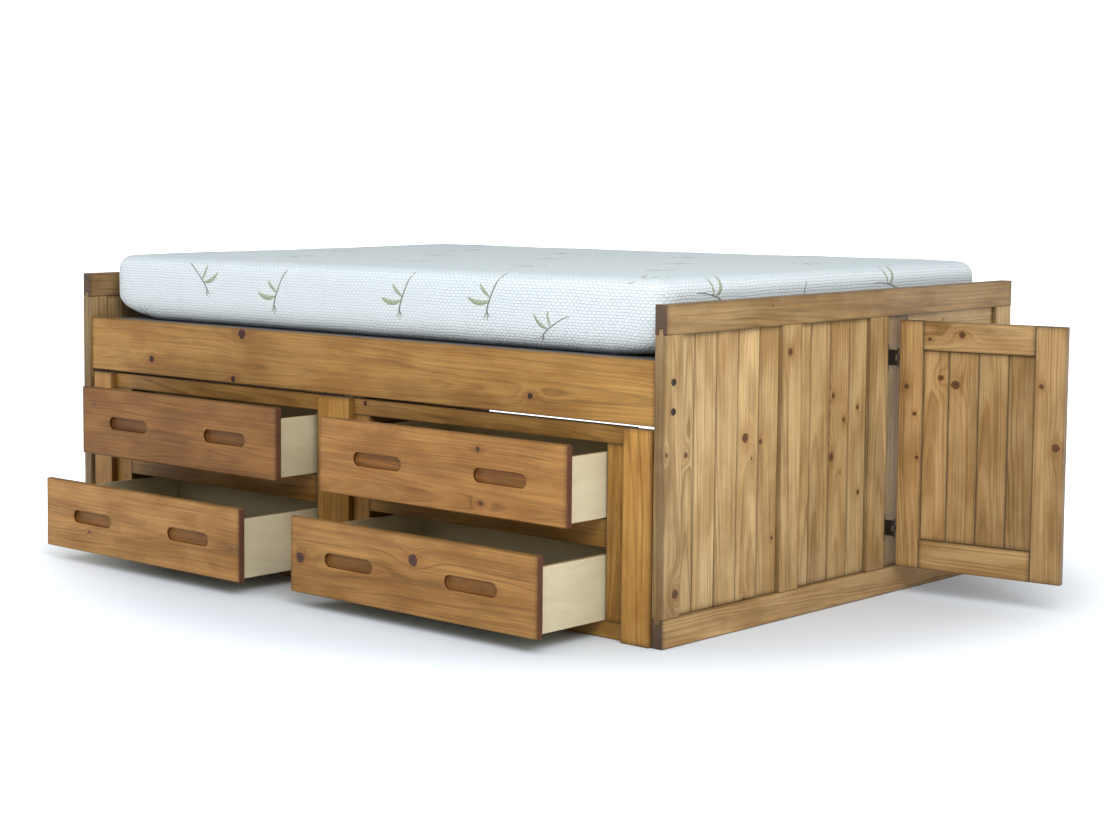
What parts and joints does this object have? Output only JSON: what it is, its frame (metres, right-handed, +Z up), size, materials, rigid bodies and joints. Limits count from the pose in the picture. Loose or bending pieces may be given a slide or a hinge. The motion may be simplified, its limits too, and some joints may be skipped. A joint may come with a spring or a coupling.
{
  "type": "platform bed",
  "caption": "Platform bed with panelled wooden ends, a mattress, overlay-front storage drawers under one side and a hinged storage door in the foot panel.",
  "frame": {"origin": "centre of the rest pose's footprint on the floor, with the drawers and the door open as in the rest pose", "axes": "+X along the bed from the head panel to the foot panel, -Y towards the drawer side, +Z up"},
  "size_m": [2.4188, 1.739, 0.787],
  "materials": {
    "panel_pine": "satin light brown stain on knotty pine",
    "rail_pine": "satin honey stain on pine",
    "front_pine": "satin reddish honey stain on knotty pine",
    "plywood": "clear lacquered pale plywood",
    "mattress_cloth": "quilted knit",
    "deck_cloth": "plain weave",
    "black_iron": "dark bronze paint"
  },
  "bodies": {
    "bed_frame": {"foot_front_post": "panel_pine", "foot_mid_post": "panel_pine", "foot_hinge_post": "panel_pine", "foot_far_post": "panel_pine", "foot_top_rail": "panel_pine", "foot_bottom_rail": "panel_pine", "head_front_post": "panel_pine", "head_mid_post": "panel_pine", "head_far_post": "panel_pine", "head_top_rail": "panel_pine", "head_bottom_rail": "panel_pine", "foot_boards_front": "panel_pine", "foot_boards_mid": "panel_pine", "foot_board_hinge": "panel_pine", "foot_header": "panel_pine", "foot_boards_far": "panel_pine", "head_boards_front": "panel_pine", "head_boards_far": "panel_pine", "foot_bolt_1": "black_iron", "foot_bolt_2": "black_iron", "side_rail_front": "rail_pine", "side_rail_back": "rail_pine", "cleat_front": "rail_pine", "cleat_back": "rail_pine", "slat_1": "rail_pine", "slat_2": "rail_pine", "slat_3": "rail_pine", "mattress_deck": "deck_cloth", "mattress": "mattress_cloth", "leg_left": "rail_pine", "leg_centre": "rail_pine", "leg_right": "rail_pine", "face_frame_left": "rail_pine", "face_frame_right": "rail_pine", "unit_side_left_head": "rail_pine", "unit_side_left_foot": "rail_pine", "unit_side_right_head": "rail_pine", "unit_side_right_foot": "rail_pine", "unit_back": "rail_pine", "hinge_1_wing": "black_iron", "hinge_2_wing": "black_iron"},
    "drawer_upper_left": {"drawer_upper_left_front": "front_pine", "drawer_upper_left_box": "plywood", "drawer_upper_left_bottom": "plywood"},
    "drawer_upper_right": {"drawer_upper_right_front": "front_pine", "drawer_upper_right_box": "plywood", "drawer_upper_right_bottom": "plywood"},
    "drawer_lower_left": {"drawer_lower_left_front": "front_pine", "drawer_lower_left_box": "plywood", "drawer_lower_left_bottom": "plywood"},
    "drawer_lower_right": {"drawer_lower_right_front": "front_pine", "drawer_lower_right_box": "plywood", "drawer_lower_right_bottom": "plywood"},
    "storage_door": {"door_hinge_stile": "panel_pine", "door_free_stile": "panel_pine", "door_top_rail": "panel_pine", "door_bottom_rail": "panel_pine", "door_panel": "panel_pine", "hinge_1_leaf": "black_iron", "hinge_2_leaf": "black_iron"}
  },
  "joints": [
    {"name": "upper_left_slide", "type": "slide", "parent": "bed_frame", "child": "drawer_upper_left", "axis": [0, -1, 0], "range_m": [-0.1358, 0.2142]},
    {"name": "upper_right_slide", "type": "slide", "parent": "bed_frame", "child": "drawer_upper_right", "axis": [0, -1, 0], "range_m": [-0.1368, 0.2132]},
    {"name": "lower_left_slide", "type": "slide", "parent": "bed_frame", "child": "drawer_lower_left", "axis": [0, -1, 0], "range_m": [-0.2578, 0.0922]},
    {"name": "lower_right_slide", "type": "slide", "parent": "bed_frame", "child": "drawer_lower_right", "axis": [0, -1, 0], "range_m": [-0.2308, 0.1192]},
    {"name": "door_hinge", "type": "hinge", "parent": "bed_frame", "child": "storage_door", "pos_m": [0.80365, 0.3015, 0.37], "axis": [0, 0, -1], "range_deg": [-84.2, 87]}
  ]
}
